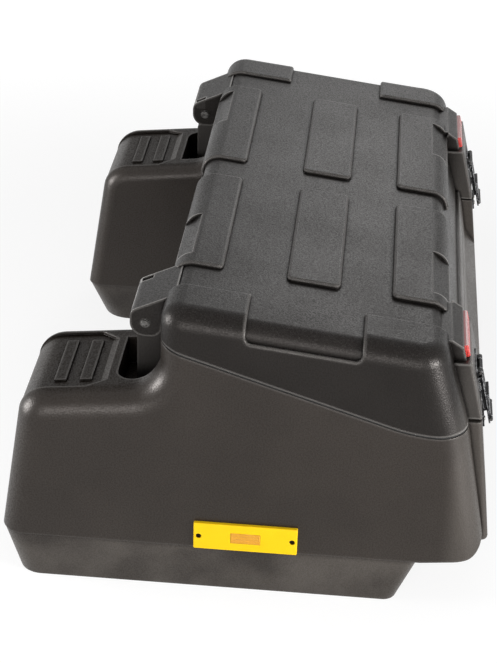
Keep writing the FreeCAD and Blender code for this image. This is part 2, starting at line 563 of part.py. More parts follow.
def latch_mount(word, hand):
    """The block on the lid's rear wall with a flat for the latch, and a narrower crown with a seat for the reflector."""
    foot, root, sink = "rim_rear_height + lid_gap", "-(lid_rear_top - lid_radius)", "mount_ledge - mount_edge"
    sides = ("mount_inner - mount_flare", "mount_outer + mount_flare")
    crown = prism(f"crown_{word}", [
        (root, sink, None), (root, "crown_height", None), ("-crown_top", "crown_height", None),
        ("-brow_reach", "brow_height", None), ("-crown_foot", "mount_ledge", None), ("-crown_foot", sink, None)],
        *mirrored(hand, "mount_inner", "mount_outer"))
    block = prism(f"mount_block_{word}", [
        (root, foot, None), (root, "mount_ledge", None), ("-mount_top", "mount_ledge", None), ("-mount_foot", foot, None)],
        *mirrored(hand, *sides))
    return [crown, rounded(f"mount_{word}", block, "mount_edge",
                           lambda p: min(abs(abs(p.x) - value(side)) for side in sides) < 0.01
                           and value("-mount_foot") < p.y < value("-mount_top") and value(foot) + 1 < p.z)]


def strap_notch(name, hand, corner, top, wall):
    """A flat across the lid's rounded edge, where a strap is led over it, square to the halving line.

    The corner is where the top and the wall would meet, and each of the two gives its unit way from there.
    """
    (corner_y, corner_z), (top_y, top_z), (wall_y, wall_z) = corner, top, wall
    half = f"(acos({top_y} * {wall_y} + {top_z} * {wall_z}) / 2)"
    reach = f"((lid_radius * (1 / sin({half}) - 1) + notch_depth) / cos({half}))"
    corners = [(f"{corner_y} + {top_y} * {reach}", f"{corner_z} + {top_z} * {reach}", None),
               (f"{corner_y} + {wall_y} * {reach}", f"{corner_z} + {wall_z} * {reach}", None),
               (f"{corner_y} - ({top_y} + {wall_y}) * lid_radius", f"{corner_z} - ({top_z} + {wall_z}) * lid_radius",
                None)]
    return prism(name, corners, *mirrored(hand, "notch_inner", "notch_outer"))


FRONT_EDGE = (("body_front", "lid_front_height"), ("0", "-1"),
              (f"(-1 / sqrt(1 + ({LID_SLOPE}) ^ 2))", f"(-({LID_SLOPE}) / sqrt(1 + ({LID_SLOPE}) ^ 2))"))
REAR_EDGE = (("-lid_rear_top", "lid_rear_height"),
             (f"(1 / sqrt(1 + ({LID_SLOPE}) ^ 2))", f"(({LID_SLOPE}) / sqrt(1 + ({LID_SLOPE}) ^ 2))"),
             (f"(-({LID_LEAN}) / sqrt(1 + ({LID_LEAN}) ^ 2))", f"(-1 / sqrt(1 + ({LID_LEAN}) ^ 2))"))
lid_adds, lid_cuts = [skin, belt] + raised, [hollow]
for word, hand in SIDES.items():
    lid_adds += [ear(word, hand)] + latch_mount(word, hand)
    lid_cuts += ear_cuts(word, hand)
    lid_cuts.append(strap_notch(f"strap_front_{word}", hand, *FRONT_EDGE))
    lid_cuts.append(strap_notch(f"strap_rear_{word}", hand, *REAR_EDGE))
finished("lid", joined("Part::Cut", "lid_body", fused("lid_solid", lid_adds), fused("lid_cuts", lid_cuts)))


# Seal on the rim

ring = joined("Part::Cut", "seal_ring", lid_form("seal_outer", "seal_inset", "0"),
              lid_form("seal_inner", "(seal_inset + seal_width)", "-lid_gap"))
finished("lid_seal", joined("Part::Cut", "seal_body", ring, lid_form("seal_above", "0", "seal_height")))


# Lid hinges

clips, hinge_screws = [], []
for word, hand in SIDES.items():
    near, far = "ear_inner + ear_cheek + pin_play", "ear_outer - ear_cheek - pin_play"
    centre = "(ear_inner + ear_outer) / 2"
    foot_front = "body_front + foot_thickness"
    across = mirrored(hand, near, far)
    foot = box(f"foot_{word}", across, ("body_front", foot_front), ("foot_bottom", "foot_top"))
    barrel = rod(f"barrel_{word}", "x", "barrel_radius", *across, "pin_forward", "pin_height")
    web = prism(f"web_{word}", [
        ("body_front", "trough_floor", None), ("post_front", "trough_floor", None),
        ("post_front", "post_top", "foot_thickness / 2"), ("pin_forward - neck_back", "pin_height - neck_drop", None),
        ("pin_forward - neck_back", "pin_height - barrel_radius + wall / 2", None),
        ("pin_forward", "pin_height", None), ("pin_forward - barrel_radius + wall / 2", "pin_height - wall", None),
        ("body_front + foot_thickness / 2", "foot_top", None)],
        *mirrored(hand, f"{centre} - web_half", f"{centre} + web_half"))
    bracket = fused(f"bracket_solid_{word}", [foot, web, barrel])
    bore = rod(f"bracket_bore_{word}", "x", "pin_radius", *mirrored(hand, "ear_inner", "ear_outer"),
               "pin_forward", "pin_height")
    finished(f"hinge_bracket_{word}", joined("Part::Cut", f"bracket_{word}", bracket, bore))
    head, tail = "ear_inner - pin_play", "ear_outer + pin_play + clip_width * 2"
    shank = rod(f"pin_shank_{word}", "x", "pin_radius", *mirrored(hand, f"{head} - pin_head / 2", tail),
                "pin_forward", "pin_height")
    cap = rod(f"pin_cap_{word}", "x", "pin_head_radius", *mirrored(hand, f"{head} - pin_head", head),
              "pin_forward", "pin_height")
    finished(f"hinge_pin_{word}", fused(f"pin_{word}", [shank, cap]))
    disc = rod(f"clip_disc_{word}", "x", "pin_head_radius",
               *mirrored(hand, "ear_outer + pin_play", "ear_outer + pin_play + clip_width"),
               "pin_forward", "pin_height")
    clip_bore = rod(f"clip_bore_{word}", "x", "pin_radius", *mirrored(hand, "ear_outer", tail),
                    "pin_forward", "pin_height")
    clips.append(joined("Part::Cut", f"clip_{word}", disc, clip_bore))
    for across_sign in SIDES.values():
        for height in ("foot_screw_low", "foot_screw_high"):
            hinge_screws.append(rod(
                f"hinge_screw_{len(hinge_screws)}", "y", "small_screw_radius", foot_front,
                f"{foot_front} + small_screw_head", f"{hand} * {centre} + {across_sign} * foot_screw_across", height))
finished("hinge_clips", grouped("clips", clips))
finished("hinge_screws", grouped("hinge_screw_heads", hinge_screws))


# Draw latches: drawn in a frame at the top edge of the mount's flat, which leans with it

MOUNT_LEAN = "atan(mount_run / (mount_rise - lid_gap))"
CATCH_LEAN = "atan(panel_waist_run / panel_waist_drop)"
SEAT_LEAN = "atan(seat_run / (brow_height - mount_ledge))"
MOUNT_MIDDLE = "(mount_inner + mount_outer) / 2"
latch_screws, catch_screws = [], []
for word, hand in SIDES.items():
    middle_x = f"{hand} * {MOUNT_MIDDLE}"
    frame = (middle_x, "-mount_top", "mount_ledge", MOUNT_LEAN)
    stand, drop = "-knuckle_stand", "-knuckle_drop"

    plate = prism(f"plate_{word}", [
        ("0", "plate_top", None), ("-plate_thickness", "plate_top", None),
        ("-plate_thickness", "plate_top - plate_length", None), ("0", "plate_top - plate_length", None)],
        "-plate_half", "plate_half")
    knuckles = []
    for end in SIDES.values():
        low, high = mirrored(end, "knuckle_inner", "knuckle_outer")
        knuckles.append(rod(f"knuckle_{word}_{end}", "x", "knuckle_radius", low, high, stand, drop))
        knuckles.append(box(f"knuckle_web_{word}_{end}", (low, high), (stand, "-plate_thickness / 2"),
                            (f"{drop} - knuckle_radius", f"{drop} + knuckle_radius")))
    base = fused(f"base_solid_{word}", [plate] + knuckles)
    base_bore = rod(f"base_bore_{word}", "x", "link_pin_radius", "-plate_half", "plate_half", stand, drop)
    finished(f"latch_base_{word}", placed(joined("Part::Cut", f"base_{word}", base, base_bore), *frame))
    pin = rod(f"latch_shank_{word}", "x", "link_pin_radius", "-knuckle_outer - pin_tail", "knuckle_outer", stand, drop)
    pin_cap = rod(f"latch_cap_{word}", "x", "link_pin_radius + pin_tail", "knuckle_outer", "knuckle_outer + pin_tail",
                  stand, drop)
    finished(f"latch_pin_{word}", placed(fused(f"latch_pin_solid_{word}", [pin, pin_cap]), *frame))
    heads = [rod(f"latch_screw_{word}_{end}", "y", "small_screw_radius", "-plate_thickness - small_screw_head",
                 "-plate_thickness", f"{end} * small_screw_across", "plate_top - plate_length + small_screw_margin")
             for end in SIDES.values()]
    latch_screws.append(placed(fused(f"latch_heads_{word}", heads), *frame))

    inner, outer = f"{stand} + arm_thickness / 2", f"{stand} - arm_thickness / 2"
    neck, shoulder = "knuckle_inner - link_clearance", f"{drop} - arm_shoulder"
    pivot_y, pivot_z = "-lever_stand", "-lever_drop"
    lug_near, lug_far = "lever_half + link_clearance", "lever_half + link_clearance + lug_width"
    toe = f"{pivot_z} - lug_radius * 2"
    arm_barrel = rod(f"arm_barrel_{word}", "x", "knuckle_radius", f"-({neck})", neck, stand, drop)
    arm_neck = box(f"arm_neck_{word}", (f"-({neck})", neck), (outer, inner), (f"{shoulder} - wall", drop))
    arm_plate = box(f"arm_plate_{word}", ("-arm_half", "arm_half"), (outer, inner), (toe, shoulder))
    arm_toe = box(f"arm_toe_{word}", (f"-({lug_far})", lug_far), (outer, inner), (toe, f"{pivot_z} + lug_radius * 2"))
    lugs = []
    for end in SIDES.values():
        low, high = mirrored(end, lug_near, lug_far)
        lugs.append(rod(f"lug_{word}_{end}", "x", "lug_radius", low, high, pivot_y, pivot_z))
        lugs.append(box(f"lug_web_{word}_{end}", (low, high), (pivot_y, inner),
                        (f"{pivot_z} - lug_radius", f"{pivot_z} + lug_radius")))
    arm_solid = fused(f"arm_solid_{word}", [arm_barrel, arm_neck, arm_plate, arm_toe] + lugs)
    arm_bore = rod(f"arm_bore_{word}", "x", "link_pin_radius + pin_running", "-plate_half", "plate_half", stand, drop)
    pivot_bore = rod(f"pivot_bore_{word}", "x", "link_pin_radius", "-plate_half - wall", "plate_half + wall",
                     pivot_y, pivot_z)
    room = "lug_radius + link_clearance"
    window = box(f"arm_window_{word}", (f"-({lug_near})", lug_near), (f"{outer} - wall", f"{inner} + wall"),
                 (f"{pivot_z} - ({room})", f"{pivot_z} + {room}"))
    arm_cuts = fused(f"arm_cuts_{word}", [arm_bore, pivot_bore, window])
    finished(f"latch_arm_{word}", placed(joined("Part::Cut", f"arm_{word}", arm_solid, arm_cuts), *frame))
    lever_shank = rod(f"lever_shank_{word}", "x", "link_pin_radius", f"-({lug_far}) - pin_tail", lug_far,
                      pivot_y, pivot_z)
    lever_cap = rod(f"lever_cap_{word}", "x", "link_pin_radius + pin_tail", lug_far, f"{lug_far} + pin_tail",
                    pivot_y, pivot_z)
    finished(f"lever_pin_{word}", placed(fused(f"lever_pin_solid_{word}", [lever_shank, lever_cap]), *frame))

    lever_inner, lever_outer = f"{pivot_y} + lever_thickness / 2", f"{pivot_y} - lever_thickness / 2"
    lever_top = f"{pivot_z} + lever_length"
    lever_barrel = rod(f"lever_barrel_{word}", "x", "lug_radius", "-lever_half", "lever_half", pivot_y, pivot_z)
    lever_plate = prism(f"lever_plate_{word}", [
        (lever_inner, pivot_z, None), (lever_inner, lever_top, None),
        (f"{lever_outer} - lever_lip", lever_top, "lever_thickness / 4"),
        (f"{lever_outer} - lever_lip", f"{lever_top} - lever_thickness", "lever_thickness / 4"),
        (lever_outer, f"{lever_top} - lever_thickness", "lever_thickness / 2"), (lever_outer, pivot_z, None)],
        "-lever_half", "lever_half")
    lever_bore = rod(f"lever_bore_{word}", "x", "link_pin_radius + pin_running", "-plate_half", "plate_half",
                     pivot_y, pivot_z)
    lever_solid = fused(f"lever_solid_{word}", [lever_barrel, lever_plate])
    finished(f"latch_lever_{word}", placed(joined("Part::Cut", f"lever_{word}", lever_solid, lever_bore), *frame))

    catch_frame = (middle_x, "-panel_top", "rim_rear_height", CATCH_LEAN)
    catch = prism(f"catch_{word}", [
        ("0", "-catch_drop", None), ("-catch_thickness", "-catch_drop", "catch_thickness / 3"),
        ("-catch_thickness", "-catch_drop - catch_length", "catch_thickness / 3"),
        ("0", "-catch_drop - catch_length", None)], "-catch_half", "catch_half")
    finished(f"latch_catch_{word}", placed(catch, *catch_frame))
    catch_heads = [rod(f"catch_screw_{word}_{end}", "y", "small_screw_radius", "-catch_thickness - small_screw_head",
                       "-catch_thickness", f"{end} * catch_screw_across", "-catch_drop - catch_length / 2")
                   for end in SIDES.values()]
    catch_screws.append(placed(fused(f"catch_heads_{word}", catch_heads), *catch_frame))

    span = "mount_width / 2 - reflector_margin"
    slant = "sqrt(seat_run ^ 2 + (brow_height - mount_ledge) ^ 2)"
    lens = prism(f"lens_{word}", [
        ("0", "reflector_inset", None), ("0", f"{slant} - reflector_inset", None),
        ("-reflector_thickness", f"{slant} - reflector_inset", "reflector_edge"),
        ("-reflector_thickness", "reflector_inset", "reflector_edge")], f"-({span})", span)
    finished(f"red_reflector_{word}", placed(lens, middle_x, "-crown_foot", "mount_ledge", SEAT_LEAN))
finished("latch_screws", grouped("latch_screw_heads", latch_screws))
finished("catch_screws", grouped("catch_screw_heads", catch_screws))


# Side marker reflectors

marker_screws = []
for word, hand in SIDES.items():
    face = mirrored(hand, "half_width", "half_width + marker_thickness")
    top = "marker_bottom + marker_height"
    centre_z = "marker_bottom + marker_height / 2"
    centre_y = "(marker_front - marker_rear) / 2"
    case = prism(f"marker_case_{word}", rectangle("-marker_rear", "marker_front", "marker_bottom", top, "marker_corner"),
                 *face)
    soft = rounded(f"marker_soft_{word}", case, "marker_edge",
                   lambda p: abs(p.x) > value("half_width + marker_thickness") - 0.01)
    pocket_end = mirrored(hand, "half_width + marker_thickness - marker_lens_depth", "half_width + marker_thickness * 2")
    pocket = box(f"marker_pocket_{word}", pocket_end,
                 (f"{centre_y} - marker_lens_length / 2", f"{centre_y} + marker_lens_length / 2"),
                 (f"{centre_z} - marker_lens_height / 2", f"{centre_z} + marker_lens_height / 2"))
    deep = mirrored(hand, "half_width + marker_thickness - marker_hole_depth", "half_width + marker_thickness * 2")
    places = ["marker_front - marker_hole_inset", "-marker_rear + marker_hole_inset"]
    wells = [rod(f"marker_well_{word}_{i}", "x", "marker_hole_radius", *deep, y, centre_z)
             for i, y in enumerate(places)]
    finished(f"side_reflector_{word}", joined("Part::Cut", f"marker_{word}", soft,
                                              fused(f"marker_cuts_{word}", [pocket] + wells)))
    insert_end = mirrored(hand, "half_width + marker_thickness - marker_lens_depth",
                          "half_width + marker_thickness + marker_lens_proud")
    play = "marker_lens_play"
    finished(f"side_reflector_insert_{word}", box(
        f"marker_insert_{word}", insert_end,
        (f"{centre_y} - marker_lens_length / 2 + {play}", f"{centre_y} + marker_lens_length / 2 - {play}"),
        (f"{centre_z} - marker_lens_height / 2 + {play}", f"{centre_z} + marker_lens_height / 2 - {play}")))
    seat = "half_width + marker_thickness - marker_hole_depth"
    for i, y in enumerate(places):
        marker_screws.append(rod(f"marker_screw_{word}_{i}", "x", "marker_hole_radius - marker_lens_play",
                                 *mirrored(hand, seat, f"{seat} + marker_screw_head"), y, centre_z))
finished("side_reflector_screws", grouped("marker_screw_heads", marker_screws))


# Floor: plates for the bolts to a carrier, and the drain plug

plates = []
for i, (x, y) in enumerate(RACK):
    corners = rectangle(f"{x} - rack_plate_half", f"{x} + rack_plate_half", f"{y} - rack_plate_half",
                        f"{y} + rack_plate_half", "rack_plate_corner")
    sheet = slab(f"rack_plate_{i}", corners, "wall", "wall + rack_plate_thickness")
    plate_hole = rod(f"plate_hole_{i}", "z", "rack_hole_radius", "0", "wall * 2 + rack_plate_thickness", x, y)
    plates.append(joined("Part::Cut", f"rack_plate_cut_{i}", sheet, plate_hole))
finished("rack_plates", grouped("rack_plate_set", plates))
stem = rod("drain_stem", "z", "drain_radius - drain_play", "0", "wall + drain_flange / 2", "0", "-drain_rear")
flange = rod("drain_cap", "z", "drain_flange_radius", "wall", "wall + drain_flange", "0", "-drain_rear")
finished("drain_plug", fused("drain_plug_solid", [stem, flange]))


# Checks, then one file for each node

doc.recompute()
broken = [item.Name for item in doc.Objects if "Invalid" in item.State or "Error" in item.State]
broken += [node.Label for node in nodes if node.Shape.isNull() or not node.Shape.isValid()]
if broken:
    raise RuntimeError(f"not built: {broken}")
os.makedirs("parts", exist_ok=True)
for node in nodes:
    node.Shape.exportStep(f"parts/{node.Label}.step")
    extent = node.Shape.optimalBoundingBox()
    print(node.Label, len(node.Shape.Solids), [round(v, 2) for v in (
        extent.XMin, extent.XMax, extent.YMin, extent.YMax, extent.ZMin, extent.ZMax)])
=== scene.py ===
import bmesh
import bpy
import numpy as np
from mathutils import Matrix, Vector


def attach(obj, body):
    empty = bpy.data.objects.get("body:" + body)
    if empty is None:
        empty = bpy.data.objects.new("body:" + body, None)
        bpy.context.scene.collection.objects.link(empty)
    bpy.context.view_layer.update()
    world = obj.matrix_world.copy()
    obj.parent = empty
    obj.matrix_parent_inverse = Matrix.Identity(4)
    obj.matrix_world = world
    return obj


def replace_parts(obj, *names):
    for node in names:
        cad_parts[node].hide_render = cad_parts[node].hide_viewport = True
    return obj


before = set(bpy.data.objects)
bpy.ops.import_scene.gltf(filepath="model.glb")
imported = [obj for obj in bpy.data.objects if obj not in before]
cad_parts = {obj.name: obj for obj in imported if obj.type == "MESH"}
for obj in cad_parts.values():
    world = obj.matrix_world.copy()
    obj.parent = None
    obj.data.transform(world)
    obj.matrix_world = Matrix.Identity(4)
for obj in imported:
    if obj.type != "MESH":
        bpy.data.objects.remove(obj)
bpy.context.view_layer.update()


# Studio: a pale table top that fades into a white room. A wide soft lamp stands low on the viewer's side,
# strong ones stand at the rear and the front of the box, and a small one hangs higher up on the far side.

class Wire:
    """An output of a shader node. Sums, differences and products of wires and numbers add Math nodes."""

    def __init__(self, socket):
        self.socket = socket
        self.tree = socket.id_data

    @staticmethod
    def fill(node, feeds):
        """Links wires to the sockets of a node, or sets plain values on them."""
        for name, feed in feeds.items():
            if isinstance(feed, Wire):
                node.id_data.links.new(feed.socket, node.inputs[name])
            else:
                node.inputs[name].default_value = feed

    @staticmethod
    def made(tree, kind, settings, feeds, out=0):
        """A new node of one kind: its settings first, then its sockets. Gives the wire of one output."""
        node = tree.nodes.new(kind)
        for name, setting in settings.items():
            setattr(node, name, setting)
        Wire.fill(node, feeds)
        return Wire(node.outputs[out])

    def maths(self, operation, first, second):
        return Wire.made(self.tree, "ShaderNodeMath", {"operation": operation}, {0: first, 1: second})

    def __add__(self, other):
        return self.maths("ADD", self, other)

    __radd__ = __add__

    def __sub__(self, other):
        return self.maths("SUBTRACT", self, other)

    def __rsub__(self, other):
        return self.maths("SUBTRACT", other, self)

    def __mul__(self, other):
        return self.maths("MULTIPLY", self, other)

    __rmul__ = __mul__

    def eased(self, low, high):
        """0 where the wire is at low, 1 where it is at high, with a soft start and end between."""
        return Wire.made(self.tree, "ShaderNodeMapRange", {"interpolation_type": "SMOOTHSTEP"},
                         {"Value": self, "From Min": low, "From Max": high})

    def tint(self, low, high):
        """The colour low where the wire is 0 and high where it is 1."""
        return Wire.made(self.tree, "ShaderNodeMix", {"data_type": "RGBA"}, {0: self, 6: low, 7: high}, 2)

    def part(self, axis):
        """One coordinate of a vector, X, Y or Z."""
        return Wire.made(self.tree, "ShaderNodeSeparateXYZ", {}, {0: self}, axis)

    def length(self):
        """The length of a vector."""
        return Wire.made(self.tree, "ShaderNodeVectorMath", {"operation": "LENGTH"}, {0: self}, "Value")


def coordinates(tree, kind):
    return Wire.made(tree, "ShaderNodeTexCoord", {}, {}, kind)


def grey(level):
    return (level, level, level, 1)


def seen_rays(tree):
    """1 for the rays that see the room itself: straight from the camera, in a reflection or through glass."""
    straight, mirrored, through = [Wire.made(tree, "ShaderNodeLightPath", {}, {}, f"Is {ray} Ray")
                                   for ray in ("Camera", "Glossy", "Transmission")]
    return straight.maths("MAXIMUM", straight.maths("MAXIMUM", straight, mirrored), through)


def linked(piece):
    bpy.context.scene.collection.objects.link(piece)
    return piece


room = bpy.data.worlds.new("white_room")
room.use_nodes = True
bpy.context.scene.world = room
low_light, high_light, room_white = 0.2, 0.3, 1.0
low_turn, high_turn = 0.1, 0.8
rise = coordinates(room.node_tree, "Generated").part("Z")
room_light = rise.eased(low_turn, high_turn).tint(grey(low_light), grey(high_light))
Wire.fill(room.node_tree.nodes["Background"], {
    "Color": seen_rays(room.node_tree).tint(room_light, grey(room_white)), "Strength": 1.0})

table_half, fade_start, fade_end = 12.0, 0.8, 2.8
table_white, table_seen, table_glow = 0.85, 0.24, 0.79
table_corners = [(x * table_half, y * table_half, 0.0) for x, y in ((-1, -1), (1, -1), (1, 1), (-1, 1))]
table_mesh = bpy.data.meshes.new("table_top")
table_mesh.from_pydata(table_corners, [], [(0, 1, 2, 3)])
table_top = linked(bpy.data.objects.new("table_top", table_mesh))
table_finish = bpy.data.materials.new("table_white")
table_finish.use_nodes = True
seen = seen_rays(table_finish.node_tree)
away = coordinates(table_finish.node_tree, "Object").length()
glow = away.eased(fade_start, fade_end).tint(grey(table_glow), grey(room_white))
Wire.fill(table_finish.node_tree.nodes["Principled BSDF"], {
    "Base Color": seen.tint(grey(table_white), grey(table_seen)), "Roughness": 0.9, "Specular IOR Level": 0.0,
    "Emission Color": seen.tint(grey(0.0), glow), "Emission Strength": 1.0})
table_mesh.materials.append(table_finish)

box_middle = Vector((0.0, 0.0, 0.25))
lamps = {"near": (31.0, 2.3, 0.9, (-2.5, 0.0, 0.7)), "rear": (85.0, 0.9, 0.9, (-1.5, -2.25, 0.5)),
         "front": (60.0, 1.0, 1.0, (-0.6, 2.4, 0.62)), "far": (7.0, 0.9, 0.9, (2.5, -0.5, 1.85))}
for lamp_name, (power, wide, high, place) in lamps.items():
    light = bpy.data.lights.new(lamp_name, "AREA")
    light.energy = power
    light.shape = "RECTANGLE"
    light.size = wide
    light.size_y = high
    lamp = linked(bpy.data.objects.new(lamp_name, light))
    lamp.location = place
    lamp.rotation_euler = (box_middle - Vector(place)).to_track_quat("-Z", "Y").to_euler()

camera = linked(bpy.data.objects.new("camera", bpy.data.cameras.new("camera")))
camera_place = (-2.6161, -0.1584, 1.6519)
to_right, to_down = (0.0891, -0.9957, 0.0261), (-0.4892, -0.0666, -0.8696)
to_front = (0.8676, 0.0647, -0.493)
stand = np.eye(4)
stand[:3, :3] = np.transpose([to_right, np.negative(to_down), np.negative(to_front)])
stand[:3, 3] = camera_place
camera.matrix_world = Matrix(stand.tolist())
focal_pixels, picture_height = 1780, 663
camera.data.sensor_fit = "VERTICAL"
camera.data.sensor_height = 36
camera.data.lens = focal_pixels / picture_height * camera.data.sensor_height
camera.data.clip_start = 0.05
bpy.context.scene.camera = camera
bpy.context.scene.view_settings.view_transform = "Standard"


# Tub: the lower shell with its two forward wings, one piece of dark polyethylene moulded in a sanded tool.
# It keeps the tool's fine grain. Its upper edges are pale, partly worn by rubbing and partly a painted
# highlight. Its level tops and its creases are painted in shade, and painted light lies on the lower band and
# the rear.

def noise(at, scale, detail):
    """Cloudy noise with scale waves to the metre."""
    feeds = {"Vector": at, "Scale": scale, "Detail": detail}
    return Wire.made(at.tree, "ShaderNodeTexNoise", {}, feeds, "Fac")


def bumped(height, strength, distance, **under):
    """The normal of a surface that a height of 0 to 1 raises by up to a distance, over the one under it."""
    feeds = {"Strength": strength, "Distance": distance, "Height": height, **under}
    return Wire.made(height.tree, "ShaderNodeBump", {}, feeds)


def deeper(colour, share):
    """A share of a colour."""
    return [*(share * level for level in colour[:3]), 1]


def new_finish(name, **settled):
    """A material, its main shader with the settled sockets, and the wire of the piece's own coordinates."""
    finish = bpy.data.materials.new(name)
    finish.use_nodes = True
    shader = finish.node_tree.nodes["Principled BSDF"]
    Wire.fill(shader, {socket.replace("_", " "): setting for socket, setting in settled.items()})
    return finish, shader, coordinates(finish.node_tree, "Object")


def edges_and_creases(tree, radius, reach):
    """A softened normal, a mask of the outer edges, and one that is 0 in creases and 1 in the open.

    Near an edge, short rays that start into the piece soon leave it. In a crease, those that start out of it
    soon meet it again.
    """
    soft = Wire.made(tree, "ShaderNodeBevel", {"samples": 6}, {"Radius": radius})
    inner, outer = [
        Wire.made(tree, "ShaderNodeAmbientOcclusion", {"samples": 6, "only_local": True, "inside": inside},
                  {"Distance": distance}, "AO")
        for inside, distance in ((True, 2 * radius), (False, reach))]
    # clear is the mask by which the finishes paint shade into creases
    clear = outer.eased(0.45, 0.95)
    return soft, (1 - inner).eased(0.03, 0.22) * clear, clear


def moulded_shell(name, dark, light, pale_edge_wear_and_highlight, painted_light_colour, gloss, specular, painted_top_shade):
    """Grained plastic: grain in the bump, a slow mottle in colour and gloss, and painted light low down and
    on the rear, which stands for the floor's reflection and the light at the rear.

    Edges are paler, most of all those that face up: partly wear from rubbing, partly a painted highlight.
    Level tops, pits of the grain and creases are dull, by a mix with the same plastic without its shine; on
    the tops and in the creases that is painted shade. Creases also take painted shade in the colour.
    """
    edge_radius, crease_reach = 0.0018, 0.007
    painted_light_top, band_top, band_painted_full, rear_painted_start, rear_painted_full = 0.3, 0.085, 0.07, -0.285, -0.315
    finish, shader, at = new_finish(name, Specular_IOR_Level=specular, Specular_Tint=(1.0, 0.93, 0.89, 1))
    tree = finish.node_tree
    soft, edge, clear = edges_and_creases(tree, edge_radius, crease_reach)
    upward = coordinates(tree, "Normal").part("Z")
    # paler edges, strongest where they face up: partly wear, partly a painted highlight
    edge = edge * (upward.eased(0.15, 0.5) * 0.7 + 0.3)
    grain = noise(at, 900.0, 0.0) * 0.3 + noise(at, 480.0, 0.0) * 0.7
    mottle = noise(at, 9.0, 4.0).eased(0.3, 0.7)
    speckle = noise(at, 420.0, 1.0).eased(0.35, 0.7)
    ahead, height = at.part("Y"), at.part("Z")
    # painted light: lighter towards the floor for its reflection, and towards the rear for the light and
    # reflections there
    painted_light_low_and_rear = height.eased(painted_light_top, 0.0) * 0.08 + ahead.eased(rear_painted_start, rear_painted_full) * 0.5
    painted_light = painted_light_low_and_rear + height.eased(band_top, band_painted_full) * mottle * 0.75
    plain = painted_light.tint((mottle * 0.7 + speckle * 0.3).tint(dark, light), painted_light_colour)
    # painted shade: creases take about a third of the dark colour
    shaded = clear.tint(deeper(dark, 0.35), plain)
    # worn holds painted shade, painted highlight and painted light besides the wear
    worn = {"Base Color": (edge * 0.7).tint(shaded, pale_edge_wear_and_highlight),
            "Roughness": mottle * 0.06 + speckle * 0.08 + (gloss - edge * 0.08),
            "Normal": bumped(grain, 0.34, 0.0008, Normal=soft)}
    Wire.fill(shader, worn)
    dull = Wire.made(tree, "ShaderNodeBsdfPrincipled", {}, {**worn, "Specular IOR Level": 0.0})
    # painted shade on level tops and in creases by the mix below; the speckle dulls pits of the grain
    grain_pits_and_painted_shade = upward.eased(0.85, 0.99) * painted_top_shade + speckle * 0.3 + (1 - clear) * 0.6
    mixed = Wire.made(tree, "ShaderNodeMixShader", {}, {0: grain_pits_and_painted_shade, 1: Wire(shader.outputs[0]), 2: dull})
    Wire.fill(tree.nodes["Material Output"], {"Surface": mixed})
    return finish


def dress(finish, *names):
    for name in names:
        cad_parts[name].material_slots[0].material = finish


# The tub: its pale edge colour is wear and painted highlight together, its light colour low down and at the
# rear is painted light, and its level tops take painted shade.
tub_plastic = moulded_shell(
    "tub_plastic", dark=(0.006, 0.004, 0.0026, 1), light=(0.01, 0.0072, 0.0051, 1),
    pale_edge_wear_and_highlight=(0.09, 0.085, 0.08, 1), painted_light_colour=(0.05, 0.044, 0.038, 1), gloss=0.31, specular=0.48, painted_top_shade=0.45)
dress(tub_plastic, "tub")


# Floor fittings: four galvanised plates spread the load of the bolts to a carrier, and a rubber plug closes
# the drain. The plates are punched from sheet, and the plug is pressed in from above.

def plated_steel(name, dull, bright, gloss):
    """Plated sheet: crystals of zinc in the colour, fine drawn lines in the gloss, bright edges, and painted
    shade in creases, where the dull colour stands without crystals.
    """
    edge_radius, crease_reach = 0.0005, 0.004
    finish, shader, at = new_finish(name, Metallic=1.0)
    tree = finish.node_tree
    soft, edge, clear = edges_and_creases(tree, edge_radius, crease_reach)
    crystals = Wire.made(tree, "ShaderNodeTexVoronoi", {}, {"Vector": at, "Scale": 260.0}, "Color")
    spangle = crystals.length().eased(0.4, 1.5)
    stretched = Wire.made(tree, "ShaderNodeMapping", {}, {"Vector": at, "Scale": (40.0, 900.0, 900.0)})
    drawn = noise(stretched, 1.0, 2.0)
    # painted shade: in creases the crystals give way to the dull colour
    Wire.fill(shader, {
        "Base Color": (edge * 0.7).tint((spangle * clear).tint(dull, bright), bright),
        "Roughness": drawn * 0.2 + (gloss - edge * 0.1), "Normal": bumped(drawn, 0.15, 0.0002, Normal=soft)})
    return finish


def soft_rubber(name, dark, bloom):
    """Moulded rubber: dull black with a pale bloom in patches and a fine pebble in the bump."""
    finish, shader, at = new_finish(name, Specular_IOR_Level=0.2)
    bloomed = noise(at, 30.0, 4.0).eased(0.4, 0.75)
    pebble = noise(at, 1400.0, 2.0)
    Wire.fill(shader, {
        "Base Color": (bloomed * 0.6 + pebble * 0.2).tint(dark, bloom), "Roughness": bloomed * 0.12 + 0.68,
        "Normal": bumped(pebble, 0.25, 0.0003)})
    return finish


galvanised = plated_steel("galvanised", dull=(0.3, 0.31, 0.32, 1), bright=(0.62, 0.63, 0.64, 1), gloss=0.34)
dress(galvanised, "rack_plates")
plug_rubber = soft_rubber("plug_rubber", dark=(0.014, 0.014, 0.014, 1), bloom=(0.045, 0.044, 0.042, 1))
dress(plug_rubber, "drain_plug")


# Seal: a hollow rubber bulb pressed on to the rim of the tub all round, which the closed lid squeezes.
# It is extruded in one length and bent round the corners.

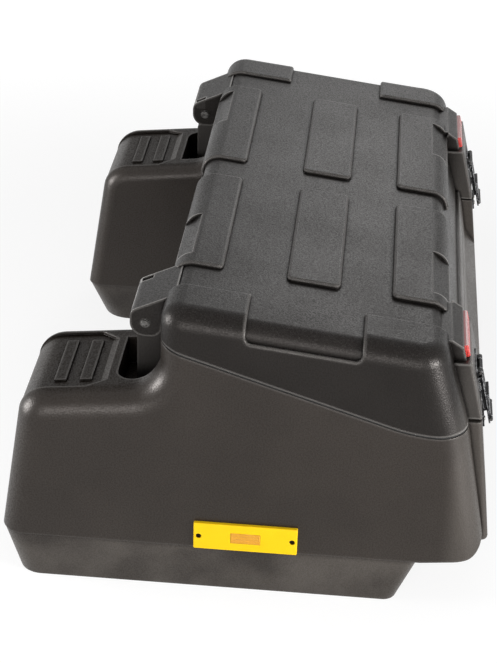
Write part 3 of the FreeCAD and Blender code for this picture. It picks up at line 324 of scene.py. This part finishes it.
def skin(name, grids, finish, body):
    """A piece from grids of points (count, rows, columns, 3) in mm, one face to each cell, columns in a ring.

    Points that fall together, at poles and at turned-in ends, are merged.
    """
    sharp_angle, merge_distance = 0.6, 1e-6
    grids = np.asarray(grids, float)
    index = np.arange(grids[..., 0].size).reshape(grids.shape[:3])
    index = np.concatenate([index, index[:, :, :1]], axis=2)
    cells = np.stack([index[:, :-1, :-1], index[:, :-1, 1:], index[:, 1:, 1:], index[:, 1:, :-1]], axis=-1)
    mesh = bpy.data.meshes.new(name)
    mesh.from_pydata((grids.reshape(-1, 3) / 1000).tolist(), [], cells.reshape(-1, 4).tolist())
    shape = bmesh.new()
    shape.from_mesh(mesh)
    bmesh.ops.remove_doubles(shape, verts=shape.verts, dist=merge_distance)
    bmesh.ops.recalc_face_normals(shape, faces=shape.faces)
    shape.to_mesh(mesh)
    shape.free()
    mesh.shade_smooth()
    mesh.set_sharp_from_angle(angle=sharp_angle)
    mesh.materials.append(finish)
    piece = linked(bpy.data.objects.new(name, mesh))
    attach(piece, body)
    return piece


rim_half, rim_front, rim_rear, front_radius, rear_radius = 500.0, 125.0, -315.5, 36.0, 46.0
rim_front_height, rim_rear_height, slope_foot = 411.5, 295.0, -240.0
knee_radius, knee_front, knee_rear = 240.0, -204.4, -277.4


def rim_height(y):
    """The rim from the side: a straight slope that runs into the level rear part by an arc."""
    slope = (rim_front_height - rim_rear_height) / (rim_front - slope_foot)
    line = rim_front_height - (rim_front - y) * slope
    run = np.clip(y - knee_rear, 0.0, 75.0)
    arc = rim_rear_height + knee_radius - np.sqrt(knee_radius ** 2 - run ** 2)
    return np.where(y > knee_front, line, arc)


def rim_path(inset, steps):
    """The rim from above: a rectangle with round corners, drawn in by inset, in even steps along it."""
    half, front, rear = rim_half - inset, rim_front - inset, rim_rear + inset
    front_turn, rear_turn = front_radius - inset, rear_radius - inset
    turns = [(half - front_turn, front - front_turn, front_turn),
             (front_turn - half, front - front_turn, front_turn),
             (rear_turn - half, rear + rear_turn, rear_turn),
             (half - rear_turn, rear + rear_turn, rear_turn)]
    quarter = np.linspace(0.0, np.pi / 2, 17)
    corners = np.concatenate([
        np.stack([x + radius * np.cos(quarter + turn * np.pi / 2),
                  y + radius * np.sin(quarter + turn * np.pi / 2)], axis=1)
        for turn, (x, y, radius) in enumerate(turns)])
    closed = np.concatenate([corners, corners[:1]])
    along = np.concatenate([[0.0], np.cumsum(np.linalg.norm(np.diff(closed, axis=0), axis=1))])
    even = np.linspace(0.0, along[-1], steps)
    return np.stack([np.interp(even, along, closed[:, i]) for i in (0, 1)], axis=1)


bulb_half, bulb_middle, bulb_rise, bulb_low, bulb_squeezed = 1.75, 1.35, 1.4, 0.02, 2.55
path = rim_path(inset=3.0, steps=900)
way = np.roll(path, -1, axis=0) - np.roll(path, 1, axis=0)
way[0] = way[-1] = path[1] - path[-2]
outward = np.stack([way[:, 1], -way[:, 0]], axis=1) / np.linalg.norm(way, axis=1)[:, None]
round_bulb = np.linspace(0.0, 2 * np.pi, 20, endpoint=False)
bulb_across = bulb_half * np.cos(round_bulb)
bulb_up = np.clip(bulb_middle + bulb_rise * np.sin(round_bulb), bulb_low, bulb_squeezed)
bulb = np.empty((len(path), len(round_bulb), 3))
bulb[..., :2] = path[:, None] + outward[:, None] * bulb_across[:, None]
bulb[..., 2] = rim_height(path[:, 1])[:, None] + bulb_up
seal_rubber = soft_rubber("seal_rubber", dark=(0.012, 0.012, 0.012, 1), bloom=(0.03, 0.03, 0.03, 1))
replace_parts(skin("rim_seal", bulb[None], seal_rubber, "tub"), "lid_seal")


# Hinges: two moulded brackets screwed to the front of the tub, each with a post in the trough and a steel pin
# through its barrel and the ear of the lid. A push-on clip holds the tail of each pin, and four pan head
# screws hold each bracket.

SIDES = {"left": -1, "right": 1}
# The brackets take the shell finish with its painted shade in creases and its edges of wear and painted
# highlight.
bracket_plastic = moulded_shell(
    "bracket_plastic", dark=(0.021, 0.019, 0.018, 1), light=(0.029, 0.027, 0.025, 1),
    pale_edge_wear_and_highlight=(0.07, 0.066, 0.062, 1), painted_light_colour=(0.04, 0.037, 0.034, 1), gloss=0.4, specular=0.2, painted_top_shade=0.0)
dress(bracket_plastic, "hinge_bracket_left", "hinge_bracket_right")
pin_steel = plated_steel(
    "pin_steel", dull=(0.035, 0.033, 0.031, 1), bright=(0.14, 0.135, 0.13, 1), gloss=0.34)
dress(pin_steel, "hinge_pin_left", "hinge_pin_right", "hinge_clips")


def pan_heads(spots, out, up, radius, height):
    """Screw heads on the given spots: a low dome over angle and ring, with a cross sunk in its middle.

    The ring runs from the pole over the dome to the rim and under the head. A point is sunk where it is near
    one of the two arms of the cross and inside their length.
    """
    arm_half, arm_length, cross_depth = 0.16 * radius, 0.58 * radius, 0.6 * height
    dome = np.linspace(0.0, 0.94, 15)
    reach = np.concatenate([dome, [0.98, 1.0, 1.0, 0.0]]) * radius
    rise = np.concatenate([1.0 - 0.3 * dome ** 3, [0.66, 0.55, 0.0, 0.0]]) * height
    angle = np.linspace(0.0, 2 * np.pi, 48, endpoint=False)
    across, along = reach[:, None] * np.cos(angle), reach[:, None] * np.sin(angle)
    near = np.minimum(np.abs(across), np.abs(along)) / arm_half
    far = np.maximum(np.abs(across), np.abs(along)) / arm_length
    sunk = np.clip((1.25 - near) * 4, 0.0, 1.0) * np.clip((1.1 - far) * 6, 0.0, 1.0)
    sunk[len(dome):] = 0.0
    lift = rise[:, None] - cross_depth * sunk
    out, up = np.array(out, float), np.array(up, float)
    side = np.cross(up, out)
    head = across[..., None] * side + along[..., None] * up + lift[..., None] * out
    return np.asarray(spots, float)[:, None, None, :] + head


screw_zinc = plated_steel("screw_zinc", dull=(0.22, 0.21, 0.19, 1), bright=(0.5, 0.48, 0.44, 1), gloss=0.28)
foot_front, ear_middle, screw_across, screw_heights = 131.0, 385.5, 22.0, (340.0, 376.0)
hinge_spots = [(hand * ear_middle + turn * screw_across, foot_front, z)
               for hand in SIDES.values() for turn in (-1, 1) for z in screw_heights]
hinge_heads = pan_heads(hinge_spots, out=(0, 1, 0), up=(0, 0, 1), radius=3.5, height=1.6)
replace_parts(skin("bracket_screws", hinge_heads, screw_zinc, "tub"), "hinge_screws")


# Lid: one shell of the same plastic with raised pads, strap notches, two hinge ears and two latch mounts.
# It is moulded blacker than the tub. The edges of its pads are pale, partly worn by what is strapped on them
# and partly a painted highlight; its creases are painted in shade, and its rear carries a painted reflection.

lid_plastic = moulded_shell(
    "lid_plastic", dark=(0.003, 0.0024, 0.002, 1), light=(0.0055, 0.0046, 0.004, 1),
    pale_edge_wear_and_highlight=(0.3, 0.285, 0.27, 1), painted_light_colour=(0.06, 0.055, 0.05, 1), gloss=0.3, specular=0.26, painted_top_shade=0.0)
dress(lid_plastic, "lid")


# Draw latches: a base screwed to each mount, an arm that turns on it and a lever on the arm's foot, which
# pulls on a catch on the tub. All four are pressed steel in black paint, worn through at the edges.

def black_paint(name, dark, light, bare):
    """Satin paint on pressed steel: a slight orange peel, painted shade in creases, and bare metal where the
    edges are worn through.
    """
    edge_radius, crease_reach = 0.0004, 0.006
    finish, shader, at = new_finish(name, Specular_IOR_Level=0.14)
    soft, edge, clear = edges_and_creases(finish.node_tree, edge_radius, crease_reach)
    patch = noise(at, 150.0, 3.0)
    worn = edge.eased(0.35, 0.9) * patch.eased(0.35, 0.65)
    peel = noise(at, 600.0, 2.0)
    # painted shade: creases keep the dark colour
    Wire.fill(shader, {
        "Base Color": worn.tint((patch * clear).tint(dark, light), bare), "Metallic": worn,
        "Roughness": patch * 0.12 + (0.34 - worn * 0.05), "Normal": bumped(peel, 0.2, 0.0003, Normal=soft)})
    return finish


def in_frame(points, origin, lean):
    """Points of a frame that stands at origin with its top tipped forward by a lean, in the box's frame."""
    x, y, z = np.moveaxis(np.asarray(points, float), -1, 0)
    turned = (x, y * np.cos(lean) + z * np.sin(lean), z * np.cos(lean) - y * np.sin(lean))
    return np.stack(turned, axis=-1) + np.asarray(origin, float)


def beads(centres, length, width, height, upright):
    """Pressed beads, half sunk in their plate: a capsule over ring and angle, flattened towards the plate.

    The rings run from one pole to the other as on a ball whose halves are drawn apart to the bead's length.
    """
    ring = np.concatenate([np.linspace(0.0, np.pi / 2, 7), np.linspace(np.pi / 2, np.pi, 7)])
    drawn = np.repeat([1.0, -1.0], 7) * (length - width) / 2
    angle = np.linspace(0.0, 2 * np.pi, 20, endpoint=False)
    along = np.broadcast_to((drawn + width / 2 * np.cos(ring))[:, None], (len(ring), len(angle)))
    across = width / 2 * np.sin(ring)[:, None] * np.cos(angle)
    proud = -height * np.sin(ring)[:, None] * np.sin(angle)
    bead = np.stack([across, proud, along] if upright else [along, proud, across], axis=-1)
    return np.asarray(centres, float)[:, None, None, :] + bead


def folded_edges(stations, half, thickness, root):
    """The two edges of a plate folded in: a four-sided bar over length and ring for each, closed at its ends.

    stations holds heights and how far the fold reaches there. The first and the last ring shrink to a point.
    """
    rows = np.asarray(stations, float)[[0, *range(len(stations)), -1]]
    open_end = np.ones((len(rows), 1))
    open_end[[0, -1]] = 0.0
    middle = (rows[:, 1:] + root) / 2
    proud = middle + open_end * (np.where([True, False, False, True], root, rows[:, 1:]) - middle)
    across = half - thickness / 2 + open_end * thickness * np.array([0.5, 0.5, -0.5, -0.5])
    bar = np.stack([across, proud, np.broadcast_to(rows[:, :1], across.shape)], axis=-1)
    return np.stack([bar, bar * (-1, 1, 1)])


latch_paint = black_paint("latch_paint", dark=(0.004, 0.004, 0.0045, 1), light=(0.009, 0.009, 0.0095, 1),
                          bare=(0.4, 0.4, 0.41, 1))
mount_middle, mount_place, mount_lean = 371.0, (-313.0, 387.0), np.arctan2(22.0, 89.0)
catch_place, catch_lean = (-335.0, 295.0), np.arctan2(15.0, 110.0)
arm_face, lever_face = -7.2, -9.8
rib_centres = [(x, arm_face, -68.0) for x in (-13.0, 0.0, 13.0)]
grip_centres = [(0.0, lever_face, z) for z in (-91.0, -95.0, -99.0)]
fold_stations = [(-52.0, -2.8), (-71.6, -2.8), (-74.0, -1.0), (-108.0, -1.0)]
pressings = {"arm_ribs": beads(rib_centres, length=24.0, width=5.0, height=1.1, upright=True),
             "arm_folds": folded_edges(fold_stations, half=22.0, thickness=1.6, root=-6.0),
             "lever_grips": beads(grip_centres, length=26.0, width=2.2, height=0.9, upright=False)}
for word, hand in SIDES.items():
    dress(pin_steel, f"latch_pin_{word}", f"lever_pin_{word}")
    dress(latch_paint, *(f"latch_{name}_{word}" for name in ("base", "arm", "lever", "catch")))
    for name, pressing in pressings.items():
        plate = name.split("_")[0]
        placed = in_frame(pressing, (hand * mount_middle, *mount_place), mount_lean)
        skin(f"{name}_{word}", placed, latch_paint, f"latch_{plate}_{word}")


def leaning_heads(spots, place, lean):
    """Pan heads on the spots of a left and a right frame, which face the rear and lean with it."""
    out, up = (0.0, -np.cos(lean), np.sin(lean)), (0.0, np.sin(lean), np.cos(lean))
    return np.concatenate([
        pan_heads(in_frame(spots, (hand * mount_middle, *place), lean), out, up, radius=3.5, height=1.6)
        for hand in SIDES.values()])


base_heads = leaning_heads([(x, -2.0, -64.0) for x in (-17.0, 17.0)], mount_place, mount_lean)
catch_heads = leaning_heads([(x, -3.0, -31.0) for x in (-13.0, 13.0)], catch_place, catch_lean)
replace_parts(skin("base_screws", base_heads, screw_zinc, "lid"), "latch_screws")
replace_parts(skin("catch_plate_screws", catch_heads, screw_zinc, "tub"), "catch_screws")


# Red rear reflectors: a clear red acrylic lens with a smooth raised rim and small prisms behind its face.
# Each is bonded into the seat under the crown of a latch mount.

def lens_block(half, low, high, thickness, rim, dip, bars):
    """A lens as a ring of points carried along its length: (across, outward, up), with its ends closed.

    The ring is a rounded rectangle. On its front the face lies lower than the rim by dip, and bars raise it
    in that many rounded strips along the length.
    """
    rounding, step, columns, rows = 1.2, 0.7, 25, 45
    ends = np.array([0.0, 0.0, 0.15, 0.4, 0.75, 1.2, rim - 0.3, rim + 0.5, rim + 1.2])
    between = np.linspace(-half + rim + 3, half - rim - 3, columns)
    length = np.concatenate([-half + ends, between, half - ends[::-1]])
    slim = rounding - np.sqrt(rounding ** 2 - (rounding - np.minimum(ends, rounding)) ** 2)
    slim = np.concatenate([slim, np.zeros(columns), slim[::-1]])[:, None]
    closing = np.ones((len(length), 1))
    closing[[0, -1]] = 0.0
    face_up = np.linspace(low + rounding, high - rounding, rows)
    front_up = np.concatenate([[low + 0.3, low + 0.8], face_up, [high - 0.8, high - 0.3]])
    fall = np.clip(np.minimum(front_up - low, high - front_up), 0.0, rounding)
    front_out = thickness - (rounding - np.sqrt(rounding ** 2 - (rounding - fall) ** 2))
    ring_up = np.concatenate([front_up, [high, high, low, low]])
    ring_out = np.concatenate([front_out, [thickness - rounding, 0.0, 0.0, thickness - rounding]])
    inside_up = np.clip((np.minimum(ring_up - low, high - ring_up) - rim) / step, 0.0, 1.0)
    inside_up[len(front_up):] = 0.0
    inside_along = np.clip((half - np.abs(length) - rim) / step, 0.0, 1.0)
    strip = np.abs(np.sin(bars * np.pi * (ring_up - low - rim) / (high - low - 2 * rim)))
    sunk = inside_along[:, None] * inside_up * dip * (1.0 - strip if bars else 1.0)
    middle_up = (low + high) / 2
    up = middle_up + (ring_up - middle_up) * closing
    rounded = ring_out - np.where(ring_out > 0.5 * thickness, slim, 0.0) - sunk
    out = rounded * closing + (1 - closing) * thickness / 2
    return np.stack([np.broadcast_to(length[:, None], up.shape), out, up], axis=-1)


def prism_lens(name, deep, lit, cell, gloss, coat):
    """Clear coloured lens: cells of small prisms under a glossy coat, each with one facet painted lit and one
    painted in shade.
    """
    finish, shader, at = new_finish(name, Coat_Weight=coat, Coat_Roughness=0.06, Specular_IOR_Level=0.3)
    prisms = Wire.made(finish.node_tree, "ShaderNodeTexVoronoi", {"distance": "MANHATTAN"},
                       {"Vector": at, "Scale": 1.0 / cell, "Randomness": 0.0}, "Distance")
    facet = prisms.eased(0.05, 0.75)
    spread = noise(at, 60.0, 2.0)
    # painted light and shade: each prism has a facet in the lit colour and one in the deep colour
    Wire.fill(shader, {
        "Base Color": (facet * 0.75 + spread * 0.25).tint(lit, deep), "Roughness": facet * 0.2 + gloss,
        "Normal": bumped(facet, 0.6, 0.0008)})
    return finish


red_lens = prism_lens(
    "red_lens", deep=(0.3, 0.012, 0.01, 1), lit=(0.72, 0.06, 0.045, 1), cell=0.0028, gloss=0.16, coat=1.0)
seat_place, seat_rise, seat_run, seat_gap = (-305.0, 387.0), 19.5, 5.0, 1.0
seat_lean, seat_length = np.arctan2(seat_run, seat_rise), np.hypot(seat_run, seat_rise)
red_block = lens_block(
    half=52.0, low=seat_gap, high=seat_length - seat_gap, thickness=6.0, rim=1.8, dip=0.7, bars=0)
for word, hand in SIDES.items():
    lens = in_frame(red_block * (1, -1, 1), (hand * mount_middle, *seat_place), seat_lean)
    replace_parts(skin(f"red_lens_{word}", lens[None], red_lens, "lid"), f"red_reflector_{word}")


# Side markers: a yellow plastic case on each end of the tub with an orange lens strip let into it.
# Two dark screws, sunk in wells, hold each case.

def bright_case(name, deep, light):
    """Coloured gloss plastic: a faint flow pattern in the colour, lighter edges, painted shade in creases,
    and a little waviness in the gloss.
    """
    edge_radius, crease_reach = 0.0008, 0.005
    finish, shader, at = new_finish(name, Specular_IOR_Level=0.1)
    soft, edge, clear = edges_and_creases(finish.node_tree, edge_radius, crease_reach)
    flow = noise(at, 26.0, 3.0)
    ripple = noise(at, 500.0, 2.0)
    # painted shade: creases take sixty percent of the deep colour; edges lean to the light colour
    Wire.fill(shader, {
        "Base Color": clear.tint(deeper(deep, 0.6), (flow * 0.7 + edge * 0.3).tint(deep, light)),
        "Roughness": flow * 0.1 + 0.26, "Normal": bumped(ripple, 0.08, 0.0003, Normal=soft)})
    return finish


yellow_case = bright_case("yellow_case", deep=(0.65, 0.4, 0.005, 1), light=(0.73, 0.48, 0.009, 1))
amber_lens = prism_lens(
    "amber_lens", deep=(0.5, 0.22, 0.006, 1), lit=(0.64, 0.33, 0.022, 1), cell=0.0022, gloss=0.2, coat=0.25)
dark_screw = plated_steel(
    "dark_screw", dull=(0.012, 0.008, 0.005, 1), bright=(0.035, 0.024, 0.016, 1), gloss=0.45)
case_middle, case_height, lens_rear, well_floor, screw_places = -5.25, 103.5, 504.0, 503.0, (63.5, -74.0)
strip_block = lens_block(half=21.8, low=-8.8, high=8.8, thickness=2.6, rim=1.6, dip=0.5, bars=3)
along, proud, up = np.moveaxis(strip_block, -1, 0)
case_heads = []
for word, hand in SIDES.items():
    dress(yellow_case, f"side_reflector_{word}")
    strip = np.stack([hand * (lens_rear + proud), case_middle + along, case_height + up], axis=-1)
    strip_piece = skin(f"amber_strip_{word}", strip[None], amber_lens, "tub")
    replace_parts(strip_piece, f"side_reflector_insert_{word}")
    case_spots = [(hand * well_floor, y, case_height) for y in screw_places]
    case_heads.append(pan_heads(case_spots, out=(hand, 0, 0), up=(0, 0, 1), radius=4.0, height=2.0))
case_screws = skin("case_screws", np.concatenate(case_heads), dark_screw, "tub")
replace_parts(case_screws, "side_reflector_screws")
